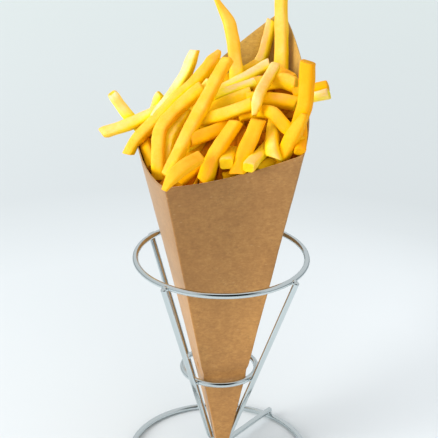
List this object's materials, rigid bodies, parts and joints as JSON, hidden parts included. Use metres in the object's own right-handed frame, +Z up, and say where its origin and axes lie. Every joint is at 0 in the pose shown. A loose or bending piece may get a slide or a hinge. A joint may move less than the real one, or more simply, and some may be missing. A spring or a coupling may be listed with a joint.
{
  "type": "french fries in a paper cone with wire stand",
  "caption": "Kraft board cone with a high back point, heaped with french fries, leaning in a chromed wire stand on a ring foot.",
  "frame": {"origin": "middle of the bounding box's footprint, on the table that the base ring stands on", "axes": "+Z up, +X to the right and +Y to the back, seen from the low front corner of the cone's rim"},
  "size_m": [0.1332, 0.1462, 0.2698],
  "materials": {
    "chrome_wire": "bright chromed steel wire",
    "kraft_board": "uncoated brown kraft board, matt and fibrous",
    "fried_potato": "fried potato, golden and slightly oily"
  },
  "bodies": {
    "root": {"base_ring": "chrome_wire", "crossbar": "chrome_wire", "v_wire_lower": "chrome_wire", "v_wire_upper": "chrome_wire", "small_ring": "chrome_wire", "top_ring": "chrome_wire", "paper_cone": "kraft_board", "fries": "fried_potato"}
  },
  "joints": []
}
